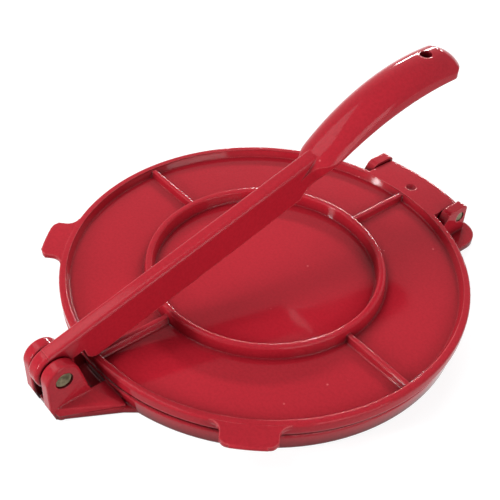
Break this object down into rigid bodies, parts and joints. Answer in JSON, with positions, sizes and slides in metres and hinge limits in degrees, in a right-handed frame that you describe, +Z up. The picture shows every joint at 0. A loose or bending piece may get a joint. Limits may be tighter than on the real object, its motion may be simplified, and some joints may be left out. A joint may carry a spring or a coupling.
{
  "type": "tortilla press",
  "caption": "Round hand press: two ribbed cast plates hinged at the back, shut by a lever with a curved grip pinned in a clevis at the front.",
  "frame": {"origin": "centre of the top plate, on the flat surface that the base stands on", "axes": "+X across the press along both hinge pins, +Y from the lever clevis to the rear hinge, +Z up"},
  "size_m": [0.21, 0.2604, 0.1074],
  "materials": {
    "red_enamel": "glossy cherry-red coat over cast aluminium, slightly uneven, thin on sharp edges",
    "pin_steel": "plain steel rod, cut ends dull and slightly tarnished"
  },
  "bodies": {
    "base": {"base_plate": "red_enamel", "lever_pin": "pin_steel", "hinge_pin": "pin_steel"},
    "plate": {"top_plate": "red_enamel"},
    "handle": {"lever": "red_enamel"}
  },
  "joints": [
    {"name": "lever_hinge", "type": "hinge", "parent": "base", "child": "handle", "pos_m": [0, -0.1242, 0.0232], "axis": [1, 0, 0], "range_deg": [0, 164]},
    {"name": "plate_hinge", "type": "hinge", "parent": "base", "child": "plate", "pos_m": [0, 0.1163, 0.0139], "axis": [-1, 0, 0], "range_deg": [0, 16.4]}
  ],
  "couplings": [
    {"joint": "plate_hinge", "follows": "lever_hinge", "ratio": 0.1}
  ]
}
